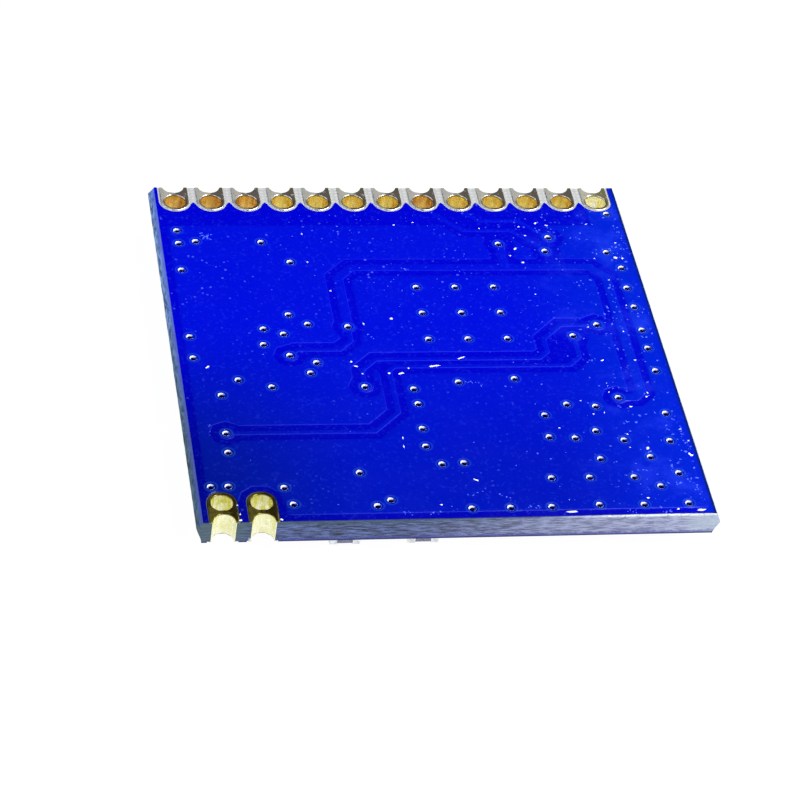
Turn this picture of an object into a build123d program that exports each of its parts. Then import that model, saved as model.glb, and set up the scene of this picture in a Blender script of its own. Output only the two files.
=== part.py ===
"""Radio module on a small circuit board, lying on its parts with the solder side up.

Lengths are in millimetres. X runs along the row of edge pads, +Y points at that row,
and +Z leaves the solder side. The origin is under the board's middle, on the surface
that the tallest part rests on.
"""

from build123d import *
import os

# Board
laminate_thickness = 0.80
copper_thickness = 0.035
mask_over_copper = 0.020
mask_over_laminate = 0.025
board_length = 17.0
row_margin = 0.73  # from the row's end drillings to the board's sides

# A ridge runs along both sides, where the scored panel was snapped apart
ridge_reach = 0.20
left_ridge_drop = 0.25  # from the laminate's top down to the ridge
right_ridge_drop = 0.37

# Edge pads: a plated drilling, and half of one on the board's edge, in one pad
pad_count = 13
pad_pitch = 1.27
pad_row_shift = -0.05
pad_width = 1.00
drilling_diameter = 0.75
drilling_sides = 10
drilling_step = 0.87  # from a pad's full drilling to its half one
plating_thickness = 0.03
pad_row_inset = 0.80  # from the far edge to the full drillings
antenna_pad_inset = 0.89  # from the near edge to the full drillings
mask_gap = 0.07  # bare ring round each pad
antenna_pad_width = 0.94
antenna_drilling_diameter = 0.72
antenna_mask_gap = 0.03
bare_edge_depth = 0.88  # mask slivers between the row's pads end this far in

# Vias: open on the solder side, closed by the mask on the other
via_diameter = 0.30
via_sides = 6
via_land_diameter = 0.58
via_land_sides = 8

# Copper under the mask shows as relief
fine_track = 0.15
wide_track = 0.33
track_clearance = 0.29
pour_inset = 0.28  # from the board's sides to the copper
pour_to_pad_row = 1.38  # the copper ends short of the row's full drillings
pour_tongue_width = 0.95  # the strip that joins the copper to the row's last pad

# Chip parts, in one common size
chip_length = 1.00
chip_width = 0.50
end_cap_length = 0.25
end_cap_coat = 0.02
capacitor_height = 0.50
inductor_height = 0.45
resistor_height = 0.35
joint_height = 0.065  # land and solder under a part's terminals
fillet_reach = 0.15
fillet_rise = 0.22
land_window_gap = 0.10

# Transceiver chip
transceiver_side = 6.00
transceiver_height = 0.90
transceiver_centre = (1.60, 1.55)
lead_count_per_side = 7
lead_pitch = 0.65
lead_width = 0.30
lead_length = 0.50
lead_thickness = 0.20
heat_pad_gap = 0.30  # from the leads' inner ends
index_dimple_diameter = 0.50
index_dimple_depth = 0.05
index_dimple_inset = 0.75
heat_via_pitch = 1.37
heat_via_rows = 3

# Crystal in a ceramic case with a metal lid
crystal_gap = 0.30  # from the transceiver's side
crystal_offset = 1.20  # from the transceiver's middle, along Y
crystal_length = 2.50
crystal_width = 2.00
crystal_base_height = 0.35
crystal_lid_height = 0.20
crystal_lid_inset = 0.12
crystal_lid_corner = 0.20
crystal_terminal_length = 0.80
crystal_terminal_width = 0.70
crystal_terminal_height = 0.03

# Antenna switch, a moulded body on six bent leads
switch_column = -5.30
switch_setback = 4.95  # from the near edge to the switch's middle
switch_length = 2.00
switch_width = 1.25
switch_body_height = 0.80
switch_body_gap = 0.05  # from the leads' feet to the body
switch_draft = 7.0
switch_lead_reach = 0.425  # from the body's side to a lead's tip
switch_lead_root = 0.15  # the stretch of a lead inside the body
switch_lead_pitch = 0.65
switch_lead_width = 0.22
switch_lead_thickness = 0.12
switch_foot_length = 0.25
switch_lead_count = 3

# Heights of the layers, from the surface that the tallest part rests on
crystal_height = crystal_terminal_height + crystal_base_height + crystal_lid_height
switch_height = switch_body_gap + switch_body_height
chip_height = max(capacitor_height, inductor_height, resistor_height)
standing_height = max(transceiver_height, crystal_height, switch_height, chip_height)
laminate_bottom = standing_height + joint_height
laminate_top = laminate_bottom + laminate_thickness
coat_thickness = copper_thickness + mask_over_copper

# Places in plan
board_width = (pad_count - 1) * pad_pitch + 2 * row_margin
half_width = board_width / 2
half_length = board_length / 2
pad_row_y = half_length - pad_row_inset
antenna_pad_y = antenna_pad_inset - half_length
pad_columns = [
    pad_row_shift + (i - (pad_count - 1) / 2) * pad_pitch for i in range(pad_count)
]
antenna_columns = {"antenna_ground_pad": pad_columns[0], "antenna_pad": pad_columns[1]}

pour_far_y = pad_row_y - pour_to_pad_row
crystal_centre = (
    transceiver_centre[0] + transceiver_side / 2 + crystal_gap + crystal_width / 2,
    transceiver_centre[1] + crystal_offset,
)
switch_centre = (switch_column, switch_setback - half_length)
switch_span = switch_width + 2 * switch_lead_reach
heat_pad_side = transceiver_side - 2 * (lead_length + heat_pad_gap)


def from_pad_row(places):
    """Places given as X and the distance in from the pad row's full drillings."""
    return [(x, pad_row_y - inset) for x, inset in places]


def from_near_edge(places):
    """Places given as X and the distance in from the near edge."""
    return [(x, inset - half_length) for x, inset in places]


# Vias along the sides: distance in from the side, then Y
left_side_vias = [(0.54, 3.90), (0.47, 0.40), (0.48, -0.68)]
right_side_vias = [
    (0.59, 3.93),
    (0.62, 2.83),
    (0.58, 1.80),
    (0.56, 0.57),
    (0.56, -0.38),
    (0.54, -1.55),
]
# Vias behind the pad row
far_vias = [
    (-7.77, 1.65),
    (-7.77, 2.35),
    (-7.17, 2.25),
    (-4.89, 2.30),
    (-4.00, 3.40),
    (7.39, 2.90),
]
# Vias in the middle of the board
middle_vias = [
    (-4.41, 1.50),
    (-3.81, 1.00),
    (-5.35, 0.77),
    (-4.70, 0.50),
    (-5.44, -0.03),
    (-3.76, -0.97),
    (-4.03, -1.49),
    (-6.49, -1.80),
    (-5.41, -2.17),
    (-7.13, -2.55),
    (-0.67, -2.34),
    (0.90, -2.02),
    (2.84, -1.88),
]
# Vias towards the near edge, the ones along it last
near_vias = [
    (-0.64, 5.42),
    (-0.69, 4.21),
    (-0.71, 3.36),
    (-0.31, 2.50),
    (0.42, 2.54),
    (-7.21, 3.20),
    (-5.60, 1.52),
    (-3.07, 2.16),
    (4.39, 5.31),
    (5.36, 5.19),
    (3.54, 4.79),
    (3.49, 3.72),
    (4.36, 3.65),
    (5.12, 3.98),
    (5.99, 3.52),
    (5.01, 2.63),
    (6.71, 2.69),
    (3.19, 1.76),
    (4.47, 1.76),
    (5.96, 1.74),
    (6.76, 1.30),
    (7.69, 4.80),
    (7.54, 3.45),
    (7.50, 1.90),
    (-5.39, 0.75),
    (-2.71, 0.61),
    (-2.24, 0.86),
    (0.33, 0.42),
    (1.60, 0.42),
    (2.95, 0.42),
    (4.54, 0.48),
    (6.02, 0.45),
    (7.52, 0.48),
]
# Vias beside the ground pads, from the pad's full drilling
antenna_ground_vias = [(-0.27, 0.73), (0.29, 0.73)]
last_pad_vias = [(0.27, -0.73)]

# Tracks on the solder side: each runs from its first via to its last one
supply_link = [(-4.62, -0.60), (-4.34, -0.32), (-2.89, -0.32), (-2.45, 0.12), (-2.45, 0.86)]
supply_track = [
    (-2.45, 0.86),
    (-2.45, 3.45),
    (-1.90, 4.00),
    (6.57, 4.00),
    (7.08, 3.49),
    (7.08, -2.60),
    (6.80, -2.88),
    (6.23, -2.88),
]
supply_branch = [(3.55, 4.00), (3.55, 5.28)]
upper_control_track = [
    (6.24, 0.87),
    (4.94, 0.87),
    (4.22, 0.15),
    (4.22, -0.52),
    (3.90, -0.84),
    (-1.75, -0.84),
    (-2.30, -1.39),
    (-2.30, -2.20),
]
lower_control_track = [
    (5.29, 0.30),
    (5.29, -0.79),
    (4.87, -1.21),
    (-1.17, -1.21),
    (-1.37, -1.41),
    (-1.37, -3.48),
    (-2.28, -4.39),
    (-7.18, -4.39),
]
# Tracks that start at the row's pad of that number, counted from the left
signal_tracks = {
    8: from_pad_row([(1.42, 0.69), (2.38, 1.65), (4.10, 1.65), (5.17, 2.72), (5.17, 2.82)]),
    9: from_pad_row([(2.49, 0.56), (3.03, 1.10), (4.46, 1.10), (5.42, 2.06)]),
}

# Chip parts on the hidden side: a row behind the pad row, two at the near edge, and
# single ones, each with its turn in degrees
chip_window_width = chip_width + 2 * land_window_gap
far_chip_web = 0.15  # mask between the far chips' windows and the pads' openings
far_chip_y = pad_row_y - pad_width / 2 - mask_gap - far_chip_web - chip_window_width / 2
far_chips = [(x, far_chip_y, 0) for x in (-2.20, -0.20, 1.80, 6.10)]
near_edge_chip_gap = 0.33  # from the near edge to the chips' sides
near_edge_chip_y = near_edge_chip_gap + chip_width / 2 - half_length
near_edge_chips = [(x, near_edge_chip_y, 0) for x in (-3.67, -1.12)]


def turned(places, turn):
    """Chips at several places, all with their length at the same turn."""
    return [(x, y, turn) for x, y in places]


capacitors = near_edge_chips + far_chips + turned([(6.20, -0.55)], 0) + turned([(-3.60, 2.70)], 90)
capacitors += turned(from_near_edge([(-2.90, 4.40), (-4.30, 2.90), (2.60, 3.40)]), 90)
capacitors += turned(from_near_edge([(1.10, 5.10)]), 0)
inductors = turned([(-5.60, 2.90), (-5.60, 4.10)], 0) + turned([(-6.50, -0.10)], 90)
inductors += turned(from_near_edge([(-6.35, 2.85)]), 90)
inductors += turned(from_near_edge([(-3.00, 5.70)]), 0)
resistors = turned([(6.10, -1.85)], 0) + turned(from_near_edge([(1.20, 1.90)]), 90)
resistors += turned(from_near_edge([(-0.60, 1.55)]), 0)

# How the pieces under the board are placed: by the middle or the outer end of their top
under_middle = (Align.CENTER, Align.CENTER, Align.MAX)
at_outer_end = (Align.MAX, Align.CENTER, Align.MAX)


def flat_sided_disc(diameter, sides):
    """A round outline drawn with flats, since the board has so many of them."""
    return RegularPolygon(diameter / 2, sides)


def move_to(points, profile):
    """Copies of a profile at several points."""
    return Sketch() + [Pos(x, y) * profile for x, y in points]


def track_vias():
    """The vias that end a track, which stand clear of the open copper."""
    ends = [supply_link[0], supply_track[0], supply_track[-1], supply_branch[-1]]
    ends += [upper_control_track[0], upper_control_track[-1]]
    ends += [lower_control_track[0], lower_control_track[-1]]
    return ends + [route[-1] for route in signal_tracks.values()]


def via_places():
    grid = GridLocations(heat_via_pitch, heat_via_pitch, heat_via_rows, heat_via_rows)
    middle_x, middle_y = transceiver_centre
    places = [(middle_x + p.position.X, middle_y + p.position.Y) for p in grid]
    places += [(inset - half_width, y) for inset, y in left_side_vias]
    places += [(half_width - inset, y) for inset, y in right_side_vias]
    places += from_pad_row(far_vias) + middle_vias + from_near_edge(near_vias)
    ground_x = antenna_columns["antenna_ground_pad"]
    places += [(ground_x + x, antenna_pad_y + y) for x, y in antenna_ground_vias]
    places += [(pad_columns[-1] + x, pad_row_y + y) for x, y in last_pad_vias]
    return places + track_vias()


def vias():
    return move_to(via_places(), flat_sided_disc(via_diameter, via_sides))


def board_outline():
    return Rectangle(board_width, board_length)


def pad_drillings(diameter):
    """A pad's full drilling at the origin, and its half one out at the board's edge."""
    hole = flat_sided_disc(diameter, drilling_sides)
    return hole + Pos(0, drilling_step) * hole


def pad_outline(width):
    """A pad's face: round at its inner end, straight out past the board's edge."""
    strip = Pos(0, drilling_step / 2) * Rectangle(width, drilling_step)
    return flat_sided_disc(width, drilling_sides) + strip + Pos(0, drilling_step) * strip


def all_pads(row_profile, antenna_profile):
    """One profile at each place of the row, the other turned round at the antenna pads."""
    row = move_to([(x, pad_row_y) for x in pad_columns], row_profile)
    antenna_places = [(x, antenna_pad_y) for x in antenna_columns.values()]
    return row + move_to(antenna_places, Rot(0, 0, 180) * antenna_profile)


def pad_openings():
    """Where neither mask covers the board at the pads."""
    openings = all_pads(
        pad_outline(pad_width + 2 * mask_gap),
        pad_outline(antenna_pad_width + 2 * antenna_mask_gap),
    )
    row_width = pad_columns[-1] - pad_columns[0]
    bare_strip = Rectangle(row_width, bare_edge_depth, align=(Align.CENTER, Align.MAX))
    return openings + Pos(pad_row_shift, half_length) * bare_strip


def laminate():
    """A drilled plate with a ridge along each side."""
    right_half = [
        (half_width, laminate_bottom),
        (half_width + ridge_reach, laminate_top - right_ridge_drop),
        (half_width, laminate_top),
    ]
    left_half = [
        (-half_width, laminate_top),
        (-half_width - ridge_reach, laminate_top - left_ridge_drop),
        (-half_width, laminate_bottom),
    ]
    across = Plane.XZ * Polygon(*right_half, *left_half, align=None)
    plate = extrude(across, half_length, both=True)
    holes = vias() + all_pads(
        pad_drillings(drilling_diameter + 2 * plating_thickness),
        pad_drillings(antenna_drilling_diameter + 2 * plating_thickness),
    )
    return plate - Pos(0, 0, laminate_bottom) * extrude(holes, laminate_thickness)


def edge_pad(inset, width, diameter):
    """A plated pad about its full drilling, cut through where the board's edge is."""
    board = Rectangle(pad_pitch, board_length, align=(Align.CENTER, Align.MAX))
    inside_edge = Pos(0, inset) * board
    bored = pad_drillings(diameter)
    face = (pad_outline(width) & inside_edge) - bored
    walls = (pad_drillings(diameter + 2 * plating_thickness) & inside_edge) - bored
    lower_face = Pos(0, 0, laminate_bottom - copper_thickness) * extrude(face, copper_thickness)
    upper_face = Pos(0, 0, laminate_top) * extrude(face, copper_thickness)
    wall = Pos(0, 0, laminate_bottom) * extrude(walls, laminate_thickness)
    return lower_face + wall + upper_face


def tracks(widening):
    """The solder side's tracks and via lands, widened by the same amount all round."""
    lines = {wide_track: [supply_track, supply_branch]}
    lines[fine_track] = [supply_link, upper_control_track, lower_control_track]
    for number, route in signal_tracks.items():
        lines[fine_track].append([(pad_columns[number - 1], pad_row_y)] + route)
    lands = flat_sided_disc(via_land_diameter + 2 * widening, via_land_sides)
    copper = move_to(track_vias(), lands)
    for width, routes in lines.items():
        for route in routes:
            copper += trace(Polyline(*route), width + 2 * widening)
    return copper


def raised_copper():
    """The copper that lifts the solder side's mask: an open pour, cut round the tracks."""
    left, right = pour_inset - half_width, half_width - pour_inset
    near = pour_inset - half_length
    pour = Pos(left, near) * Rectangle(right - left, pour_far_y - near, align=Align.MIN)
    tongue = Rectangle(pour_tongue_width, pour_to_pad_row, align=(Align.MAX, Align.MIN))
    pour += Pos(right, pour_far_y) * tongue
    between_tracks = Polygon(*upper_control_track[1:5], *lower_control_track[3:0:-1], align=None)
    antenna_pad_outline = Rot(0, 0, 180) * pad_outline(antenna_pad_width + 2 * track_clearance)
    antenna_clearance = Pos(antenna_columns["antenna_pad"], antenna_pad_y) * antenna_pad_outline
    return pour - tracks(track_clearance) - between_tracks - antenna_clearance + tracks(0)


def solder_side_mask():
    """The coat's top steps down wherever there is no copper under it."""
    coat = board_outline() - pad_openings() - vias()
    rise = coat_thickness - mask_over_laminate
    bare = Pos(0, 0, mask_over_laminate) * extrude(board_outline() - raised_copper(), rise)
    return Pos(0, 0, laminate_top) * (extrude(coat, coat_thickness) - bare)


def chip_window():
    length = chip_length + 2 * (fillet_reach + land_window_gap)
    return Rectangle(length, chip_window_width)


def part_side_mask():
    windows = Sketch() + [place * chip_window() for place in chip_places()]
    side = transceiver_side + 2 * land_window_gap
    windows += Pos(*transceiver_centre) * Rectangle(side, side)
    crystal_window = Rectangle(crystal_width + 2 * land_window_gap, crystal_length + 2 * land_window_gap)
    windows += Pos(*crystal_centre) * crystal_window
    span = switch_span + 2 * land_window_gap
    windows += Pos(*switch_centre) * Rectangle(span, switch_length + 2 * land_window_gap)
    coat = extrude(board_outline() - pad_openings() - windows, coat_thickness)
    return Pos(0, 0, laminate_bottom - coat_thickness) * coat


def chip_places(parts=capacitors + inductors + resistors):
    return [Pos(x, y) * Rot(0, 0, turn) for x, y, turn in parts]


def hang(depth_below_laminate, solid):
    """Places a solid so that its own top is at a depth under the board."""
    return Pos(0, 0, laminate_bottom - depth_below_laminate) * solid


def chip_body(height):
    """The ceramic between and inside the end caps, thinner than they are by their coat."""
    size = (chip_length - 2 * end_cap_coat, chip_width - 2 * end_cap_coat, height - 2 * end_cap_coat)
    body = Box(*size, align=under_middle)
    return hang(joint_height + end_cap_coat, body)


def end_cap(height):
    """A metal cap, open towards the chip's middle, that the ceramic fits into."""
    cap = Box(end_cap_length, chip_width, height, align=(Align.MIN, Align.CENTER, Align.MAX))
    return Pos(-chip_length / 2, 0) * hang(joint_height, cap) - chip_body(height)


def end_caps(parts, height):
    cap = end_cap(height)
    pair = [cap, Rot(0, 0, 180) * cap]
    return [place * one for place in chip_places(parts) for one in pair]


def chip_joint():
    """Land and solder under one end cap, with a fillet up the cap's end."""
    inner = chip_length / 2 - end_cap_length
    outer = chip_length / 2
    profile = Polygon(
        (inner, 0),
        (inner, -joint_height),
        (outer, -joint_height),
        (outer, -joint_height - fillet_rise),
        (outer + fillet_reach, 0),
        align=None,
    )
    return hang(0, extrude(Plane.XZ * profile, chip_width / 2, both=True))


def lead_places():
    """The chip leads' places round its four sides, each pointing out along +X."""
    first = -(lead_count_per_side - 1) / 2
    offsets = [(first + i) * lead_pitch for i in range(lead_count_per_side)]
    sides = [Pos(*transceiver_centre) * Rot(0, 0, 90 * side) for side in range(4)]
    return [side * Pos(transceiver_side / 2, y) for side in sides for y in offsets]


def transceiver_leads():
    lead = Box(lead_length, lead_width, lead_thickness, align=at_outer_end)
    heat_pad = Box(heat_pad_side, heat_pad_side, lead_thickness, align=under_middle)
    leads = [place * hang(joint_height, lead) for place in lead_places()]
    return leads + [Pos(*transceiver_centre) * hang(joint_height, heat_pad)]


def transceiver_body():
    """The moulding round the leads and the heat pad, with a dimple at its first lead."""
    moulding = Box(transceiver_side, transceiver_side, transceiver_height, align=under_middle)
    block = hang(joint_height, moulding)
    corner = index_dimple_inset - transceiver_side / 2
    dimple = extrude(flat_sided_disc(index_dimple_diameter, drilling_sides), index_dimple_depth)
    body = Pos(*transceiver_centre) * (block - Pos(corner, -corner) * dimple)
    return body - Part(children=transceiver_leads())


def crystal_terminal_places():
    reach_x = (crystal_width - crystal_terminal_width) / 2
    reach_y = (crystal_length - crystal_terminal_length) / 2
    return [Pos(*crystal_centre) * Pos(x, y) for x in (-reach_x, reach_x) for y in (-reach_y, reach_y)]


def crystal_terminals():
    size = (crystal_terminal_width, crystal_terminal_length, crystal_terminal_height)
    terminal = Box(*size, align=under_middle)
    return [place * hang(joint_height, terminal) for place in crystal_terminal_places()]


def crystal_base():
    size = (crystal_width, crystal_length, crystal_base_height)
    base = Box(*size, align=under_middle)
    return Pos(*crystal_centre) * hang(joint_height + crystal_terminal_height, base)


def crystal_lid():
    width, length = crystal_width - 2 * crystal_lid_inset, crystal_length - 2 * crystal_lid_inset
    outline = chamfer(Rectangle(width, length).vertices(), crystal_lid_corner)
    depth = joint_height + crystal_terminal_height + crystal_base_height
    return Pos(*crystal_centre) * hang(depth, extrude(outline, -crystal_lid_height))


def switch_body():
    """Two halves, each drawn in from the parting line that the leads leave from."""
    half = switch_body_height / 2
    outline = Rectangle(switch_width, switch_length)
    halves = extrude(outline, half, taper=switch_draft) + extrude(outline, -half, taper=switch_draft)
    body = Pos(*switch_centre) * hang(joint_height + switch_body_gap + half, halves)
    return body - Part(children=switch_leads())


def switch_lead_places():
    first = -(switch_lead_count - 1) / 2
    offsets = [(first + i) * switch_lead_pitch for i in range(switch_lead_count)]
    return [Pos(*switch_centre) * Rot(0, 0, turn) * Pos(0, y) for turn in (0, 180) for y in offsets]


def switch_leads():
    """Each lead leaves the body level, bends up to the board and ends in a flat foot."""
    root, tip = switch_width / 2 - switch_lead_root, switch_span / 2
    bend = tip - switch_foot_length
    level = -joint_height - switch_body_gap - switch_body_height / 2
    foot = -joint_height - switch_lead_thickness / 2
    route = Polyline((root, level), (bend, level), (bend, foot), (tip, foot))
    profile = Plane.XZ * trace(route, switch_lead_thickness)
    lead = hang(0, extrude(profile, switch_lead_width / 2, both=True))
    return [place * lead for place in switch_lead_places()]


def solder_joints():
    """Each joint is a copper land with the solder on it, in one lump."""
    joint = chip_joint()
    joints = [place * one for place in chip_places() for one in (joint, Rot(0, 0, 180) * joint)]
    lead_joint = Box(lead_length, lead_width, joint_height, align=at_outer_end)
    joints += [place * hang(0, lead_joint) for place in lead_places()]
    heat_pad_joint = Box(heat_pad_side, heat_pad_side, joint_height, align=under_middle)
    joints.append(Pos(*transceiver_centre) * hang(0, heat_pad_joint))
    size = (crystal_terminal_width, crystal_terminal_length, joint_height)
    crystal_joint = Box(*size, align=under_middle)
    joints += [place * hang(0, crystal_joint) for place in crystal_terminal_places()]
    foot_joint = Box(switch_foot_length, switch_lead_width, joint_height, align=at_outer_end)
    joints += [place * Pos(switch_span / 2, 0) * hang(0, foot_joint) for place in switch_lead_places()]
    return joints


def nodes():
    """Every piece by name; a list is one node of several separate solids."""
    pieces = {
        "laminate": laminate(),
        "solder_side_mask": solder_side_mask(),
        "part_side_mask": part_side_mask(),
        "transceiver_body": transceiver_body(),
        "transceiver_leads": transceiver_leads(),
        "crystal_base": crystal_base(),
        "crystal_lid": crystal_lid(),
        "crystal_terminals": crystal_terminals(),
        "antenna_switch_body": switch_body(),
        "antenna_switch_leads": switch_leads(),
        "capacitor_end_caps": end_caps(capacitors, capacitor_height),
        "inductor_end_caps": end_caps(inductors, inductor_height),
        "resistor_end_caps": end_caps(resistors, resistor_height),
        "solder_joints": solder_joints(),
    }
    pad = edge_pad(pad_row_inset, pad_width, drilling_diameter)
    for number, x in enumerate(pad_columns, start=1):
        pieces[f"edge_pad_{number:02d}"] = Pos(x, pad_row_y) * pad
    antenna_pad = edge_pad(antenna_pad_inset, antenna_pad_width, antenna_drilling_diameter)
    antenna_pad = Rot(0, 0, 180) * antenna_pad
    for name, x in antenna_columns.items():
        pieces[name] = Pos(x, antenna_pad_y) * antenna_pad
    bodies = (
        ("capacitor", capacitors, capacitor_height),
        ("inductor", inductors, inductor_height),
        ("resistor", resistors, resistor_height),
    )
    for kind, parts, height in bodies:
        body = chip_body(height)
        for number, place in enumerate(chip_places(parts), start=1):
            pieces[f"{kind}_{number:02d}"] = place * body
    return pieces


os.makedirs("parts", exist_ok=True)
for name, piece in nodes().items():
    solid = Compound(children=piece) if isinstance(piece, list) else piece
    export_step(solid, f"parts/{name}.step")
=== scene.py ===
import math
import random
from functools import partial

import bmesh
import bpy
from mathutils import Matrix, Vector, noise
from mathutils.bvhtree import BVHTree
from mathutils.geometry import delaunay_2d_cdt
from mathutils.kdtree import KDTree


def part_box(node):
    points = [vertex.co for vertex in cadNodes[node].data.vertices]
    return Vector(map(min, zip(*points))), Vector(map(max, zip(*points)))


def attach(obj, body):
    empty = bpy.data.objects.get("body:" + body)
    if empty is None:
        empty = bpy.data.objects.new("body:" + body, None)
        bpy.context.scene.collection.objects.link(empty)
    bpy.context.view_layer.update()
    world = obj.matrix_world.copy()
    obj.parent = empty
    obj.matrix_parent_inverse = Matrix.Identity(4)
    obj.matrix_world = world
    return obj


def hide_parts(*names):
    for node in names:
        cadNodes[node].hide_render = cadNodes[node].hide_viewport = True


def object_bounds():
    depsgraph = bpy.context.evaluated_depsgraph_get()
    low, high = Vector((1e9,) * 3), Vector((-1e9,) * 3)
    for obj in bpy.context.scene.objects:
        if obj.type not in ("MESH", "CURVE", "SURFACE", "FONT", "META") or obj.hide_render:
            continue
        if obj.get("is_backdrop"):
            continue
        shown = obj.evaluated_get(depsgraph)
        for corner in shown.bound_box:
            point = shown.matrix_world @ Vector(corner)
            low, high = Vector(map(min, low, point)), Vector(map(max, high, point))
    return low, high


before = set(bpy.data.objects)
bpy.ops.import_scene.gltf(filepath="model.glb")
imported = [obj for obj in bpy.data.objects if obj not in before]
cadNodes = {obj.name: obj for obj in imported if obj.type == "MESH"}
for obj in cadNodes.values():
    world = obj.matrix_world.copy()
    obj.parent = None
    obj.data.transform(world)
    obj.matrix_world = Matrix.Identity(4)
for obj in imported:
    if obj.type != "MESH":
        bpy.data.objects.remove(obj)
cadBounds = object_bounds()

# A small radio module lying on its parts, solder side up. Shapes are worked out in
# millimetres and turned to metres when a mesh is made.

mm = 0.001
padNodes = sorted(n for n in cadNodes if n.startswith(("edge_pad_", "antenna_")) and "pad" in n)


def boxOf(nodeName):  # a CAD node's two corners, in mm
    low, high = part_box(nodeName)
    return low / mm, high / mm


maskHigh = boxOf("solder_side_mask")[1]
plateLow, plateHigh = boxOf("laminate")


def linear(hexColour):  # sRGB hex to the linear colour that sockets want
    parts = [int(hexColour[i:i + 2], 16) / 255 for i in (1, 3, 5)]
    parts = [c / 12.92 if c <= 0.04045 else ((c + 0.055) / 1.055) ** 2.4 for c in parts]
    return (*parts, 1.0)


def smooth(t):
    t = min(1.0, max(0.0, t))
    return t * t * (3 - 2 * t)


def addNode(tree, kind, inputs=None, out=0, **settings):
    # Inputs go by place or by name, and each takes a value or another node's output
    node = tree.nodes.new("ShaderNode" + kind)
    for key, value in settings.items():
        setattr(node, key, value)
    for key, value in inputs.items() if isinstance(inputs, dict) else enumerate(inputs or []):
        if isinstance(value, bpy.types.NodeSocket):
            tree.links.new(value, node.inputs[key])
        else:
            node.inputs[key].default_value = value
    return node.outputs[out]


soft = {"interpolation_type": "SMOOTHSTEP"}  # settings that many nodes share
colour = {"data_type": "RGBA"}
times, plus, scaled = [{"operation": name} for name in ("MULTIPLY", "ADD", "MULTIPLY_ADD")]


def newMaterial(name, look=None, **settings):
    # Gives the material, its shader, what adds a node to it, and the shaded place in mm
    if look:
        look.update({key: linear(value) for key, value in look.items() if isinstance(value, str)})
    material = bpy.data.materials.new(name)
    material.use_nodes = True
    shader = material.node_tree.nodes["Principled BSDF"]
    for key, value in settings.items():
        shader.inputs[key.replace("_", " ")].default_value = value
    add = partial(addNode, material.node_tree)
    place = add("TexCoord", out="Object")
    return material, shader, add, add("VectorMath", {0: place, "Scale": 1 / mm}, operation="SCALE")


def feed(shader, **sockets):
    for key, source in sockets.items():
        shader.id_data.links.new(source, shader.inputs[key.replace("_", " ")])


def tinted(add, tone, layers):
    # Lays colours over a tone: each layer has its share, the ranges that it fades in over,
    # as (what it follows, where it starts, where it is full), and its colour
    for share, ranges, over in layers:
        for source, start, full in ranges:
            share = add("MapRange", {0: source, 1: start, 2: full, 4: share}, **soft)
        tone = add("Mix", {0: share, 6: tone, 7: over}, 2, **colour)
    return tone


def newObject(name, data):
    made = bpy.data.objects.new(name, data)
    bpy.context.scene.collection.objects.link(made)
    return made


def makePiece(name, points, faces, material, nodes=(), slot=None, sharp=40):
    mesh = bpy.data.meshes.new(name)
    mesh.from_pydata([Vector(p) * mm for p in points], [], faces)
    mesh.materials.append(material)
    mesh.polygons.foreach_set("use_smooth", [True] * len(mesh.polygons))
    mesh.update()
    mesh.set_sharp_from_angle(angle=math.radians(sharp))
    piece = newObject(name, mesh)
    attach(piece, "root")
    if nodes:
        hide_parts(*nodes)
    return piece


def turns(start, end, steps):
    return [start + (end - start) * i / steps for i in range(steps + 1)]


def onCircle(centre, radius, angles):
    return [(centre[0] + radius * math.cos(a), centre[1] + radius * math.sin(a)) for a in angles]


def arc(centre, radius, start, end, steps):
    return onCircle(centre, radius, turns(start, end, steps))


def circle(centre, radius, steps):
    return arc(centre, radius, 0, 2 * math.pi, steps)[:-1]


def triangulate(loops, lines=(), points=(), inside=None):
    # Flat triangles that keep to the given loops and lines
    coords, edges, runs = [], [], []
    for line, closed in [(loop, True) for loop in loops] + [(line, False) for line in lines]:
        first = len(coords)
        coords += [Vector(p) for p in line]
        last = len(coords) - 1
        edges += [(i, i + 1) for i in range(first, last)]
        if closed:
            edges.append((last, first))
            runs.append(range(first, last + 1))
    coords += [Vector(p) for p in points]
    made = delaunay_2d_cdt(coords, edges, [], 0, 1e-5)
    places, triangles, origins = made[0], made[2], made[3]
    whereIs = {source: i for i, sources in enumerate(origins) for source in sources}
    if inside:
        middles = [(places[a] + places[b] + places[c]) / 3 for a, b, c in triangles]
        triangles = [t for t, m in zip(triangles, middles) if inside(m.x, m.y)]
    return places, triangles, [[whereIs[i] for i in run] for run in runs]


def rimsOf(triangles):  # edges that only one triangle has
    edges = {(t[k], t[(k + 1) % 3]) for t in triangles for k in range(3)}
    return sorted((a, b) for a, b in edges if (b, a) not in edges)


def slab(places, triangles, levels, placeAt):
    # A closed plate: the plan on its two faces, and walls of several levels round its edges
    used = sorted({i for t in triangles for i in t})
    rims = rimsOf(triangles)
    onRim = {i for edge in rims for i in edge}
    points, index = [], {}
    for level in range(levels):
        for i in used:
            if level in (0, levels - 1) or i in onRim:
                index[i, level] = len(points)
                points.append(placeAt(places[i].x, places[i].y, level, i in onRim))
    bottom = levels - 1
    faces = [tuple(index[i, 0] for i in t) for t in triangles]
    faces += [tuple(index[i, bottom] for i in reversed(t)) for t in triangles]
    for level in range(bottom):
        for a, b in rims:
            below = level + 1
            faces.append((index[b, level], index[a, level], index[a, below], index[b, below]))
    return points, faces, [(places[i], index[i, 0]) for i in used]


def wall(faces, upper, lower, closed=True):
    count = len(upper)
    for i in range(count if closed else count - 1):
        k = (i + 1) % count
        faces.append((upper[i], lower[i], lower[k], upper[k]))


def addRing(points, loop, z):
    first = len(points)
    points += [(x, y, z) for x, y in loop]
    return list(range(first, len(points)))


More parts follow.
